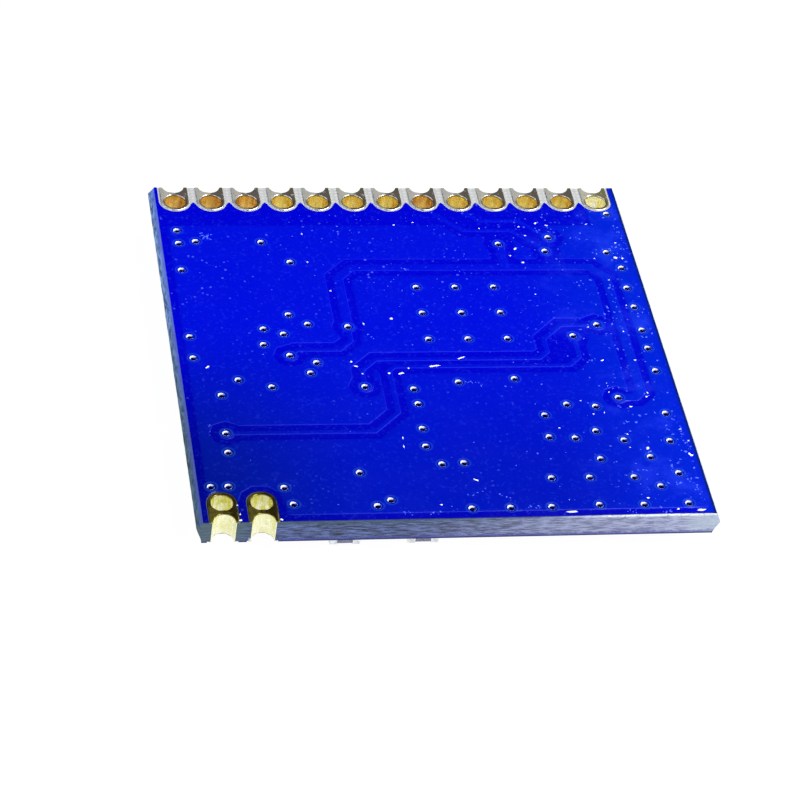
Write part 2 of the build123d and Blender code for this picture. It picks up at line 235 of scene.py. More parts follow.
def solderMaskMaterial():
    # Blue epoxy solder mask, screen printed and baked: a deep glossy blue skin, darker over
    # bare laminate, with a soft orange peel and pale specks of dust. Painted shade darkens it
    # towards the front, the left and along its right edge; a painted sheen lies over its right
    # side, and painted highlights lie on the copper's edges and round the vias
    look = {
        "overCopper": "#000CCA", "nearTone": "#0012AA", "leftTone": "#001282",
        "rightTone": "#001FC4", "speck": "#6A84FF", "haze": "#2C50FF", "halo": "#2E70A4",
        "edge": "#34366E", "snapped": "#061E56",
        "moat": (0.5, 0.14, 0.91, 1.0),  # what bare laminate leaves of each colour
        "gloss": 0.2, "snappedGloss": 0.05, "thinShare": 0.21, "hazeShare": 0.26,
        "grainShare": 0.13, "haloShare": 0.22, "speckSize": 0.30,
        "peelMm": 0.35, "mottleMm": 1.5, "patchMm": 2.2, "speckMm": 0.15, "grainMm": 0.11,
    }
    material, shader, add, spot = newMaterial("blue_solder_mask_printed", look, IOR=1.5)
    x, y, _ = add("SeparateXYZ", [spot]).node.outputs
    outward = add("NewGeometry", out="Normal")
    rightness = add("MapRange", [x, 3.0, 8.5], **soft)
    # Painted shade: the mask darker towards the front and the left; painted sheen: a greener blue
    # towards the right
    tone = tinted(add, look["overCopper"], [
        (1.0, [(y, 2.0, -8.5)], look["nearTone"]),
        (rightness, [], look["rightTone"]),
        (1.0, [(x, -2.0, -8.5), (y, 1.5, -7.5)], look["leftTone"]),
    ])
    bare = add("Attribute", out="Fac", attribute_name="bare")
    margin = add("MapRange", [x, 7.9, 8.15, 1.0, 0.15], **soft)
    bare = add("Math", [bare, margin], **times)
    tone = add("Mix", {0: bare, 6: tone, 7: look["moat"]}, 2, blend_type="MULTIPLY", **colour)
    # Painted highlight on the slopes at the copper's edges, above all on those that face the front
    # light
    slope = add("Math", [1.0, bare], operation="SUBTRACT")
    slope = add("Math", [slope, bare], **times)
    forward = add("VectorMath", [outward, (0.4, -0.9, 0)], "Value", operation="DOT_PRODUCT")
    forward = add("MapRange", [forward, 0.02, 0.14, 0.12], **soft)
    below = add("MapRange", [y, 4.5, 2.5, 0.35], **soft)
    slopeHighlight = add("Math", [forward, below], **times)
    slopeHighlight = add("Math", [slopeHighlight, look["thinShare"]], **times)
    mottle, grain, patch, peel = [
        add("TexNoise", {"Vector": spot, "Scale": 1 / look[size], "Detail": detail,
                         "Roughness": rough}, "Fac")
        for size, detail, rough in (("mottleMm", 5.0, 0.6), ("grainMm", 2.0, 0.5),
                                    ("patchMm", 2.0, 0.5), ("peelMm", 2.0, 0.5))]
    # Painted sheen in patches over the right side, with the pale grain of the coat added to it
    haze = add("MapRange", {0: mottle, 1: 0.50, 2: 0.70, 4: look["hazeShare"]}, **soft)
    haze = add("Math", [haze, rightness], **times)
    fine = add("MapRange", {0: grain, 1: 0.54, 2: 0.76, 4: look["grainShare"]}, **soft)
    haze = add("Math", [haze, fine], **plus)
    ring = add("Attribute", out="Fac", attribute_name="ring")
    # Dust finer than a pixel is drawn a little coarser, as specks in sparse cells and patches
    cells = add("TexVoronoi", {"Vector": spot, "Scale": 1 / look["speckMm"]}).node
    pick = add("SeparateColor", [cells.outputs["Color"]])
    reach = add("MapRange", {0: pick, 1: 0.70, 2: 1.0, 4: look["speckSize"]}, **soft)
    speck = add("Math", [cells.outputs["Distance"], reach], operation="LESS_THAN")
    patch = add("MapRange", [patch, 0.42, 0.66, 0.05, 0.42], **soft)
    dusty = add("MapRange", [y, -1.0, 4.0, 0.3], **soft)
    dusty = add("Math", [dusty, rightness], operation="MAXIMUM")
    for part in (patch, dusty):
        speck = add("Math", [speck, part], **times)
    upright = add("SeparateXYZ", [outward], 2)
    upright = add("Math", [upright], operation="ABSOLUTE")
    # Painted shade: a dark, less glossy strip along the mask's right edge
    snapped = add("MapRange", {0: x, 1: maskHigh.x - 0.13, 2: maskHigh.x - 0.05, 4: 0.85}, **soft)
    tone = tinted(add, tone, [
        (slopeHighlight, [(slope, 0.12, 0.25)], look["haze"]),
        (haze, [], look["haze"]),
        # Painted highlight: a pale halo round each via, on the ring that its land raises
        (look["haloShare"], [(ring, 0.45, 1.0)], look["halo"]),
        (speck, [], look["speck"]),
        (1.0, [(upright, 0.5, 0.2)], look["edge"]),
        (snapped, [], look["snapped"]),
    ])
    gloss = add("MapRange", {0: snapped, 3: look["gloss"], 4: look["snappedGloss"]})
    roughness = add("MapRange", [mottle, 0.3, 0.75, 0.20, 0.30], **soft)
    bump = add("Bump", {"Strength": 0.25, "Distance": 0.003 * mm, "Height": peel})
    feed(shader, Base_Color=tone, Roughness=roughness, Normal=bump, Specular_IOR_Level=gloss)
    return material


board = {
    "row": {"width": 1.00, "drilling": 0.75, "gap": 0.07, "reach": 0.80, "way": 1},
    "antenna": {"width": 0.94, "drilling": 0.72, "gap": 0.03, "reach": 0.89, "way": -1},
    "plating": 0.03, "drillingStep": 0.87, "bareDepth": 0.88, "viaRadius": 0.15, "relief": 0.03,
    # The mask's peaks between the row's pads: height, slope and half width
    "peak": (0.03, 1.3, 0.16),
    # How CAD vertices are told apart: of one face, of one drilling, and the fewest in a drilling
    "slack": 0.004, "together": 0.17, "fewest": 5,
}
halfWidth, halfLength = maskHigh.x, maskHigh.y


def padFrames():  # each pad's place and sizes: way is which way the board's edge lies from it
    frames = []
    for name in padNodes:
        low, high = boxOf(name)
        kind = board["row"] if name.startswith("edge_pad") else board["antenna"]
        y = kind["way"] * (halfLength - kind["reach"])
        frames.append({"name": name, "x": (low.x + high.x) / 2, "y": y, **kind})
    return frames


pads = padFrames()
padRow = [pad for pad in pads if pad["way"] > 0]
rowPitch = padRow[1]["x"] - padRow[0]["x"]


def goldMaterial(name, bright, dull, flatBright, flatDull, rim, flatMetal):
    # Gold flash over nickel, plated on rough copper: a warm metal, amber where it is thin,
    # banded down the walls of its holes by the drill, with painted light on the open walls at
    # the board's edge; the flats are dull and greyish, with painted light and shade across
    # them, and the rims carry a painted highlight
    look = {
        "bright": bright, "dull": dull, "flatBright": flatBright, "flatDull": flatDull, "rim": rim,
        "seam": "#3A2C10", "burnt": "#4E4030", "seamShare": 0.75 if flatMetal < 0.7 else 0.1,
        "stainMm": 0.20, "bandMm": 0.13, "grainMm": 0.06, "wallMetal": 0.55,
        "pitch": 1.27, "firstX": padRow[0]["x"], "holeY": 7.7,
    }
    material, shader, add, spot = newMaterial(name, look, Metallic=1.0, Roughness=0.3)
    flattened = add("VectorMath", [spot, (1, 1, 0.12)], **times)
    stain, grain, bands = [
        add("TexNoise", {"Vector": place, "Scale": 1 / look[size], "Detail": detail}, "Fac")
        for place, size, detail in (
            (spot, "stainMm", 3.0), (spot, "grainMm", 2.0), (flattened, "bandMm", 2.0))]
    both = add("Mix", {0: 0.35, 2: bands, 3: stain})
    x, y, height = add("SeparateXYZ", [spot]).node.outputs
    ends = add("Math", [y], operation="ABSOLUTE")
    walls = tinted(add, look["dull"], [
        (1.0, [(both, 0.38, 0.62)], look["bright"]),
        # Painted light: the open half-hole walls at the board's edge are paler
        (0.6, [(ends, 7.95, 8.1)], look["bright"]),
        (look["seamShare"], [(height, plateHigh.z - 0.055, plateHigh.z - 0.01)], look["seam"]),
    ])
    # Painted light and shade: the flats are paler to the left of each hole and darker to its right;
    # they are brown below it
    pitch = look["pitch"]
    along = add("Math", [x, 1 / pitch, 0.5 - look["firstX"] / pitch], **scaled)
    along = add("Math", [along], operation="FRACT")
    aside = add("Math", [along, pitch, -0.5 * pitch], **scaled)
    ahead = add("Math", [ends, -look["holeY"]], **plus)
    radius = add("CombineXYZ", [aside, ahead])
    radius = add("VectorMath", [radius], "Value", operation="LENGTH")
    along = add("MapRange", [along, 0.25, 0.75, 0.20, -0.16], **soft)
    amount = add("Math", [stain, along], **plus)
    flats = tinted(add, look["flatDull"], [
        (1.0, [(amount, 0.40, 0.62)], look["flatBright"]),
        (0.8, [(radius, 0.47, 0.40), (ahead, 0.20, -0.05)], look["burnt"]),
    ])
    facing = add("SeparateXYZ", [add("NewGeometry", out="Normal")], 2)
    facing = add("Math", [facing], operation="ABSOLUTE")
    onRim = add("MapRange", [facing, 0.06, 0.2], **soft)
    onFlat = add("MapRange", [facing, 0.86, 0.97], **soft)
    # Painted highlight on the rounded rims
    tone = tinted(add, walls, [(onRim, [], look["rim"]), (onFlat, [], flats)])
    metal = add("MapRange", {0: onRim, 3: look["wallMetal"]})
    metal = add("Mix", {0: onFlat, 2: metal, 3: flatMetal})
    roughness = add("MapRange", [stain, 0.3, 0.7, 0.40, 0.24], **soft)
    relief = add("Mix", {0: 0.25, 2: bands, 3: grain})
    bump = add("Bump", {"Strength": 0.5, "Distance": 0.010 * mm, "Height": relief})
    feed(shader, Base_Color=tone, Metallic=metal, Roughness=roughness, Normal=bump)
    return material


def laminateMaterial():
    # Glass cloth in epoxy: pale and faintly woven on its faces. Snapped and sawn sides show
    # the ends of the cloth as slate streaks, teal where the resin is thick and paler where
    # the fibre is frayed. Painted light makes the sides paler towards the right; painted
    # shade darkens the bare faces towards the front and the upper slope of the right side;
    # painted highlights run along the near rim and the top of the left side
    look = {
        "face": "#CDCDCB", "faceDark": "#B8B9B7", "faceNear": "#54605F", "sideDark": "#18223E",
        "sidePale": "#6276B4", "sideTeal": "#2C5660", "lightDark": "#747CA6",
        "lightPale": "#BEC4E2", "endPale": "#C4D2E2", "farDark": "#2E5488", "farPale": "#94C0F2",
        "nearDark": "#123040", "nearPale": "#527C8C", "rimFar": "#6A84FF", "rimNear": "#465EC0",
        "cornerTeal": "#4A6668",
        "paleFoot": "#D8DADC", "rightDark": "#2A3458", "rightPale": "#7C88B4", "foot": "#3840A0",
        "crushed": "#F4FAFF", "crushedBlue": "#7E98F4",
        "threadMm": 0.18, "layerMm": 0.05, "streakMm": 0.42, "specksMm": 0.09, "fibreMm": 0.09,
        "fringeMm": 0.11, "betweenPads": -6.67,
    }
    material, shader, add, spot = newMaterial("glass_epoxy_laminate_cut", look,
                                              Roughness=0.55, IOR=1.52)
    x, y, z = add("SeparateXYZ", [spot]).node.outputs
    turned = add("SeparateXYZ", [add("NewGeometry", out="Normal")]).node.outputs
    weave = 1.0
    for way in "XY":
        thread = {"Vector": spot, "Scale": 2 / (6.28 * look["threadMm"]), "Distortion": 0.6,
                  "Detail": 1.0}
        thread = add("TexWave", thread, "Fac", bands_direction=way)
        weave = add("Math", [weave, thread], **times)
    face = tinted(add, look["faceDark"], [
        (weave, [], look["face"]),
        # Painted shade: the bare faces darker towards the front
        (1.0, [(y, -5.0, -7.0)], look["faceNear"]),
    ])
    layered = add("VectorMath", [spot, (1, 1, look["streakMm"] / look["layerMm"])], **times)
    drawn = add("VectorMath", [spot, (1, 0.3, 1.3)], **times)
    streaks, fringe, specks, fibres = [
        add("TexNoise", {"Vector": place, "Scale": 1 / look[size], "Detail": detail,
                         "Roughness": rough}, "Fac")
        for place, size, detail, rough in (
            (layered, "streakMm", 5.0, 0.7), (drawn, "fringeMm", 4.0, 0.65),
            (spot, "specksMm", 3.0, 0.5), (layered, "fibreMm", 3.0, 0.5))]
    ragged = add("MapRange", [specks, 0.3, 0.7, -0.05, 0.05])
    level = add("Math", [z, ragged], **plus)
    aside = add("Math", [x, -look["betweenPads"]], **plus)
    aside = add("Math", [aside], operation="ABSOLUTE")
    upright = add("Math", [turned[2]], operation="ABSOLUTE")
    top, low = plateHigh.z, plateLow.z
    streaked, mottled, farAway = (streaks, 0.38, 0.62), (fringe, 0.38, 0.62), (y, -6.0, 5.0)

    # Painted light: the streaked tone that the sides take towards the right
    pale = tinted(add, look["lightDark"], [(1.0, [streaked], look["lightPale"])])
    far = tinted(add, look["farDark"], [(1.0, [mottled], look["farPale"])])
    # Painted highlight for the top of the left side, paler towards the far end
    rim = tinted(add, look["rimNear"], [(1.0, [farAway], look["rimFar"])])
    left = tinted(add, look["nearDark"], [
        (1.0, [mottled], look["nearPale"]),
        (1.0, [farAway], far),
        (0.9, [(level, top - 0.17, top - 0.04)], rim),
    ])
    # Painted shade on the upper slope of the right side
    right = tinted(add, look["rightDark"], [(1.0, [mottled], look["rightPale"])])
    # Painted highlight along the near rim, whiter towards the right and broken in places
    crushed = add("Attribute", out="Fac", attribute_name="crushed")
    broken = add("MapRange", [specks, 0.36, 0.52, 0.45], **soft)
    crushed = add("Math", [crushed, broken], **times)
    white = tinted(add, look["crushedBlue"], [(1.0, [(x, 2.0, 5.5)], look["crushed"])])
    tone = tinted(add, look["sideDark"], [
        (1.0, [streaked], look["sidePale"]),
        # Painted light: the sides paler towards the right, palest at the right end
        (1.0, [(x, -3.0, 7.5)], pale),
        (0.65, [(x, 6.9, 7.9)], look["endPale"]),
        (0.7, [(level, top - 0.22, top - 0.04), (x, 5.0, -3.0)], look["sideTeal"]),
        (0.7, [(level, low + 0.13, low + 0.02)], look["foot"]),
        (0.75, [(x, -6.4, -7.4)], look["cornerTeal"]),
        # Resin squeezed out between the two antenna pads, at the foot
        (1.0, [(aside, 0.22, 0.14), (level, low + 0.15, low + 0.08)], look["paleFoot"]),
        (1.0, [(turned[0], -0.2, -0.6)], left),
        (1.0, [(turned[0], 0.3, 0.7), (level, top - 0.35, top - 0.05)], right),
        (1.0, [(upright, 0.75, 0.95)], face),
        (crushed, [], white),
    ])
    relief = add("Math", [streaks, fibres], **plus)
    bump = add("Bump", {"Strength": 0.7, "Distance": 0.02 * mm, "Height": relief})
    feed(shader, Base_Color=tone, Normal=bump)
    return material


def plainMaterial(name, bright, dull, sizeMm, rough, metal=0.0, grain=0.3):
    # A surface in two close tones, with its own grain
    material, shader, add, spot = newMaterial(name, Metallic=metal, Roughness=rough, IOR=1.5)
    tones = add("TexNoise", {"Vector": spot, "Scale": 1 / sizeMm, "Detail": 4.0,
                             "Roughness": 0.6}, "Fac")
    tone = tinted(add, linear(dull), [(1.0, [(tones, 0.35, 0.65)], linear(bright))])
    roughness = [tones, 0.3, 0.7, min(1.0, rough * 1.2), rough * 0.85]
    roughness = add("MapRange", roughness, **soft)
    fine = add("TexNoise", {"Vector": spot, "Scale": 4 / sizeMm, "Detail": 3.0}, "Fac")
    bump = add("Bump", {"Strength": grain, "Distance": 0.004 * mm, "Height": fine})
    feed(shader, Base_Color=tone, Roughness=roughness, Normal=bump)
    return material


def viaMaterial():
    # Tin over drilled copper: a painted highlight at the mouth, and painted shade darkening it
    # further down
    look = {"mouth": "#F4FAFF", "shade": "#0C1E8C", "deep": "#000878", "pale": 0.062, "dark": 0.088,
            "raggedMm": 0.12}
    material, shader, add, spot = newMaterial("tinned_copper_barrel", look,
                                              Metallic=0.1, Roughness=0.35)
    height = add("SeparateXYZ", [spot], 2)
    ragged = add("TexNoise", {"Vector": spot, "Scale": 1 / look["raggedMm"], "Detail": 2.0}, "Fac")
    shift = add("MapRange", [ragged, 0.3, 0.7, -0.008, 0.008])
    level = add("Math", [height, shift], **plus)
    # Painted highlight on the side of each mouth that faces the front light, painted shade on the
    # other
    outward = add("NewGeometry", out="Normal")
    thick = add("VectorMath", [outward, (0.50, -0.80, 0.30)], "Value", operation="DOT_PRODUCT")
    tone = tinted(add, look["shade"], [
        (1.0, [(thick, 0.10, 0.60)], look["mouth"]),
        (1.0, [(level, maskHigh.z - look["pale"], maskHigh.z - look["dark"])], look["deep"]),
    ])
    bump = add("Bump", {"Strength": 0.3, "Distance": 0.006 * mm, "Height": ragged})
    feed(shader, Base_Color=tone, Normal=bump)
    return material


solderMask = solderMaskMaterial()
laminateLook = laminateMaterial()
viaPlating = viaMaterial()
goldLooks = {  # bright, dull, flats bright and dull, rims' painted highlight, how metallic the flats look
    "gold_flash_plated": ("#FFEC80", "#DCB436", "#D6D3C6", "#6E665A", "#FFFFFA", 0.5),
    "gold_flash_thin_plated": ("#FFD86A", "#C08A34", "#D8D4C6", "#72685E", "#FFFFFA", 0.5),
    "gold_flash_bright_plated": ("#FFFFE8", "#FFEE70", "#DCD9C4", "#86825C", "#FFFFFA", 0.5),
    "gold_flash_clean_plated": ("#FFFFE0", "#E2DC3C", "#94883C", "#4E3E18", "#8A7C34", 0.85),
}
golds = [goldMaterial(name, *look) for name, look in goldLooks.items()]
padGold, amberGold, brightGold, cleanGold = golds
# Black epoxy moulding compound, transfer moulded: dull, with a fine sandy surface
moulding = plainMaterial("black_epoxy_moulded", "#26272A", "#1B1C1F", 0.12, 0.55, grain=0.5)
# Tin plated copper, matte and slightly cloudy
tin = plainMaterial("matte_tin_plated", "#F4F6F8", "#D2D5D8", 0.15, 0.34, metal=0.75)
# Reflowed solder: brighter than the tin, with a frosty grain
solder = plainMaterial("tin_solder_reflowed", "#DADCDD", "#B4B7B9", 0.10, 0.27, 1.0, 0.5)
# Nickel plated lid, seam welded: smooth with a warm grey cast
nickel = plainMaterial("nickel_plated_lid", "#C9C6BE", "#B3B0A8", 0.4, 0.28, 1.0, 0.15)
# Alumina, fired: the dark ceramic of a crystal's case
alumina = plainMaterial("alumina_ceramic_fired", "#5D554D", "#4B443E", 0.1, 0.6)
# Barium titanate ceramic, fired: a capacitor's grey body, cool in this light
capacitorCeramic = plainMaterial("titanate_ceramic_fired", "#9496AC", "#7A7C92", 0.08, 0.5)
# Ferrite ceramic, fired: an inductor's grey body
inductorCeramic = plainMaterial("ferrite_ceramic_fired", "#8F93A0", "#767A88", 0.08, 0.5)
# Glass over a resistive film, fired: nearly black and slightly glossy
resistorGlass = plainMaterial("black_overglaze_fired", "#1E1F22", "#141517", 0.1, 0.35)
# Dust and scuffed epoxy: matte white crumbs
dustLook = plainMaterial("pale_dust_crumbs", "#FFFFFF", "#DCE4FF", 0.05, 0.8, grain=0.1)
# Finer dust, half sunk in the mask: it lets the blue through
hazeLook = plainMaterial("fine_dust_on_mask", "#5A80FF", "#2C50F4", 0.05, 0.7, grain=0.1)
print("materials ready")


def boardOutline(w, l, spacing):
    return sampled([(-w, -l), (w, -l), (w, l), (-w, l), (-w, -l)], spacing)[:-1]


def treeOf(points):
    tree = KDTree(len(points))
    for i, (x, y) in enumerate(points):
        tree.insert((x, y, 0), i)
    tree.balance()
    return tree


def viaCentres():  # the drillings in the laminate's top that are too small for a pad
    vertices = [v.co / mm for v in cadNodes["laminate"].data.vertices]
    level = plateHigh.z - board["slack"] / 2
    top = sorted({(round(v.x, 4), round(v.y, 4)) for v in vertices if v.z > level})
    tree = treeOf(top)
    left, centres = set(range(len(top))), []
    while left:
        group, stack = set(), [left.pop()]
        while stack:
            i = stack.pop()
            group.add(i)
            for _, k, _ in tree.find_range((*top[i], 0), board["together"]):
                if k in left:
                    left.discard(k)
                    stack.append(k)
        if len(group) >= board["fewest"]:
            centres.append(tuple(sum(top[i][k] for i in group) / len(group) for k in (0, 1)))
    return sorted(centres)


vias = viaCentres()
print("drillings found:", len(vias), "vias and", len(pads), "pads")


def reliefEdges():  # upper edges of the steps in the mask, where the copper under it ends
    high = maskHigh.z - board["slack"]
    edges = set()
    mesh = cadNodes["solder_side_mask"].data
    for face in mesh.polygons:
        heights = [mesh.vertices[i].co.z / mm for i in face.vertices]
        if abs(face.normal.z) > 0.1 or min(heights) < high - board["relief"] or max(heights) < high:
            continue
        upper = [mesh.vertices[i].co / mm for i, z in zip(face.vertices, heights) if z > high]
        ends = sorted({(round(p.x, 3), round(p.y, 3)) for p in upper})
        if len(ends) == 2:
            edges.add(tuple(ends))
    return edges


def chained(edges):  # joins loose edges end to end
    beside = {}
    for a, b in edges:
        beside.setdefault(a, []).append(b)
        beside.setdefault(b, []).append(a)
    left, chains = set(edges), []

    def follow(start):
        chain = [start]
        while True:
            here = chain[-1]
            onward = [n for n in beside[here] if tuple(sorted((here, n))) in left]
            if not onward:
                return chain
            left.discard(tuple(sorted((here, onward[0]))))
            chain.append(onward[0])

    for start in sorted(p for p in beside if len(beside[p]) != 2):
        while any(tuple(sorted((start, n))) in left for n in beside[start]):
            chains.append(follow(start))
    while left:
        chains.append(follow(min(left)[0]))
    return chains


def sampled(line, spacing):  # a line's points, no further apart than the spacing
    points = [line[0]]
    for a, b in zip(line, line[1:]):
        count = max(1, math.ceil(math.dist(a, b) / spacing))
        points += [(a[0] + (b[0] - a[0]) * i / count, a[1] + (b[1] - a[1]) * i / count)
                   for i in range(1, count + 1)]
    return points


reliefLines = chained(reliefEdges())
reliefTree = treeOf([p for line in reliefLines for p in sampled(line, 0.02)])
print("relief lines:", len(reliefLines))


def topFaces():  # the mask's upper faces, to ask whether copper lies under a place
    mesh = cadNodes["solder_side_mask"].data
    points = [v.co / mm for v in mesh.vertices]
    faces = [tuple(f.vertices) for f in mesh.polygons
             if f.normal.z > 0.9 and min(points[i].z for i in f.vertices) > plateHigh.z + 0.01]
    return BVHTree.FromPolygons(points, faces)


maskTop = topFaces()


def copperAt(x, y):  # 1 over copper, 0 over bare laminate, and a soft step between
    middle = maskHigh.z - board["relief"] / 2
    raised = maskTop.find_nearest((x, y, middle))[0].z > middle
    gap = reliefTree.find((x, y, 0))[2]
    return smooth(0.5 + (gap if raised else -gap) / mask["ramp"])


def offsetLine(line, reach):  # a line drawn beside another one
    closed = line[0] == line[-1]
    points = []
    last = len(line) - 1
    for i, p in enumerate(line):
        before = line[i - 1] if i else (line[-2] if closed else p)
        after = line[i + 1] if i < last else (line[1] if closed else p)
        normals = []
        for a, b in ((before, p), (p, after)):
            length = math.dist(a, b)
            if length:
                normals.append(Vector(((b[1] - a[1]) / length, (a[0] - b[0]) / length)))
        way = sum(normals, Vector((0, 0)))
        way = way / max(0.6, way.length_squared) * len(normals) if way.length else normals[0]
        points.append((p[0] + way.x * reach, p[1] + way.y * reach))
    return points


def padShape(radius, edgeReach, steps):  # round inner end, straight sides past the edge
    straight = [(radius, edgeReach), (-radius, edgeReach)]
    return arc((0, 0), radius, math.pi, 2 * math.pi, steps) + straight


def placed(shape, pad):
    return [(pad["x"] + pad["way"] * x, pad["y"] + pad["way"] * y) for x, y in shape]


def inPadOpening(x, y, grow=0.0):
    for pad in pads:
        radius = pad["width"] / 2 + pad["gap"] + grow
        dx, dy = x - pad["x"], (y - pad["y"]) * pad["way"]
        if abs(dx) < radius and (dy > 0 or dx * dx + dy * dy < radius * radius):
            return True
    return padRow[0]["x"] < x < padRow[-1]["x"] and y > bareLimit(x) - grow


def inPadDrilling(x, y):
    for pad in pads:
        radius = pad["drilling"] / 2 + board["plating"]
        for step in (0, board["drillingStep"]):
            if math.hypot(x - pad["x"], (y - pad["y"]) * pad["way"] - step) < radius:
                return True
    return False


viaShape = {  # growth from the drilled radius, and depth below the mask's highest point
    "steps": 20, "skin": 0.066, "overhang": 0.024, "flare": 0.3, "play": 0.001, "foot": 0.005,
    # Beads of solder that ran into some mouths: the nearest via to each place has one
    "beads": [(6.65, -7.0), (6.05, -7.9), (7.4, -7.9), (5.6, -2.9), (-0.9, -3.1), (2.9, 3.0),
              (4.0, -7.9)],
    "beadAside": (-0.045, -0.085), "beadRadius": 0.036, "beadDown": 0.035,
    "lip": [(-0.026, 0.022), (-0.044, 0.032), (-0.058, 0.055), (-0.064, 0.095), (-0.066, 0.15)],
}
viaTree = treeOf(vias)


def bareLimit(x):  # the mask's slivers between the row's pads end in small peaks
    height, slope, half = board["peak"]
    offCentre = abs((x - padRow[0]["x"]) / rowPitch % 1 - 0.5) * rowPitch
    return halfLength - board["bareDepth"] + height - slope * min(offCentre, half)


def viaGap(x, y):  # from a place to the nearest via's wall
    return viaTree.find((x, y, 0))[2] - board["viaRadius"]


def wander(*place):  # smooth noise, from -1 to 1
    return noise.noise(Vector(place))


nearRim = {"start": 1.5, "full": 6.0, "depth": 0.034}  # a narrow chamfer along the near edge, which carries a painted highlight


def rimAt(x):
    ragged = 0.8 + 0.5 * wander(x * 2.1, 3.7, 0) + 0.35 * wander(x * 9, 1, 0)
    share = smooth((x - nearRim["start"]) / (nearRim["full"] - nearRim["start"]))
    return nearRim["depth"] * share * ragged


mask = {"inset": 0.002, "plateau": 0.009, "relief": 0.013, "ramp": 0.075, "rimDrop": 0.014,
        "rimWidth": 0.05, "edgeStep": 0.25, "fill": 0.30, "viaSteps": 24, "padSteps": 16,
        "ripple": 0.0010, "ringRise": 0.004, "ringReach": 0.14,
        # Lines that the mesh follows, this far from the vias, from the pads and over each step
        "viaLines": (0.005, 0.045, 0.085), "padLines": (0.0, 0.022, 0.055),
        "stepLines": (-0.5, -0.17, 0.17, 0.5)}


def makeSolderSideMask():
    rng = random.Random(11)
    w, l = halfWidth - mask["inset"], halfLength - mask["inset"]
    outline = [(x, y + rimAt(x)) if y < -l + 0.001 else (x, y)
               for x, y in boardOutline(w, l, mask["edgeStep"])]
    loops, lines = [outline], []
    for x, y in vias:
        for grow in (-viaShape["overhang"], *mask["viaLines"], mask["ringReach"]):
            loops.append(circle((x, y), board["viaRadius"] + grow, mask["viaSteps"]))
    for pad in pads:
        for grow in mask["padLines"]:
            radius = pad["width"] / 2 + pad["gap"] + grow
            end = pad["reach"] + 0.1
            lines.append(placed(padShape(radius, end, mask["padSteps"]), pad)[:-1])
            lines.append(placed([(-radius, end), (-radius, 0)], pad))
    for grow in mask["padLines"]:
        for pad in padRow[:-1]:
            steps = [pad["x"] + rowPitch * (0.5 + 0.12 * (k - 3) / 3) for k in range(7)]
            lines.append([(u, bareLimit(u) - grow) for u in steps])
    for line in reliefLines:
        fine = sampled(line, 0.22)
        for share in mask["stepLines"]:
            lines.append(offsetLine(fine, mask["ramp"] * share))
    fill, step = [], mask["fill"]
    for i in range(int(2 * w / step)):
        for k in range(int(2 * l / step)):
            fill.append((-w + (i + 0.5 + rng.uniform(-0.3, 0.3)) * step,
                         -l + (k + 0.5 + rng.uniform(-0.3, 0.3)) * step))

    def inside(x, y):
        if abs(x) > w or y > l or y < -l + rimAt(x) * 0.98:
            return False
        return viaGap(x, y) > -viaShape["overhang"] - viaShape["play"] and not inPadOpening(x, y)

    places, triangles, _ = triangulate(loops, lines, fill, inside)
    rims = [(tuple(places[a]), tuple(places[b])) for a, b in rimsOf(triangles)]
    rimTree = treeOf([p for edge in rims for p in sampled(edge, 0.03)])
    top = maskHigh.z - mask["plateau"]
    cached = {}

    def placeAt(x, y, level, onRim):
        if level:
            return (x, y, plateHigh.z)
        copper = copperAt(x, y)
        rim = 1 - smooth(rimTree.find((x, y, 0))[2] / mask["rimWidth"])
        ripple = mask["ripple"] * wander(x * 1.3, y * 1.3, 5)
        gap = viaGap(x, y)
        ring = smooth(gap / 0.05) * (1 - smooth((gap - 0.05) / (mask["ringReach"] - 0.05)))
        cached[x, y] = (1 - copper, ring)
        step = mask["relief"] * (1 - copper) + mask["rimDrop"] * rim * (0.4 + 0.6 * copper)
        return (x, y, top - step + mask["ringRise"] * ring + ripple)

    points, faces, topPoints = slab(places, triangles, 2, placeAt)
    piece = makePiece("blue_mask_solder_side", points, faces, solderMask,
                      ["solder_side_mask"], "solder_mask", 50)
    for k, name in enumerate(("bare", "ring")):
        values = [0.0] * len(points)
        for place, i in topPoints:
            values[i] = cached[place.x, place.y][k]
        piece.data.attributes.new(name, "FLOAT", "POINT").data.foreach_set("value", values)
    print("solder side mask:", len(piece.data.polygons), "faces")


makeSolderSideMask()

thick = plateHigh.z - plateLow.z
laminate = {  # levels of the side walls, roughness, and how deep the snapped ridges lie
    "depths": [0, 0.04, 0.10, 0.17, 0.25, 0.31, 0.37, 0.48, 0.60, 0.71, thick],
    "roughSide": 0.014, "roughEnd": 0.008, "bite": 0.008, "leftRidge": 0.25, "rightRidge": 0.37,
    "edgeStep": 0.12, "whiteFrom": 0.022,
}


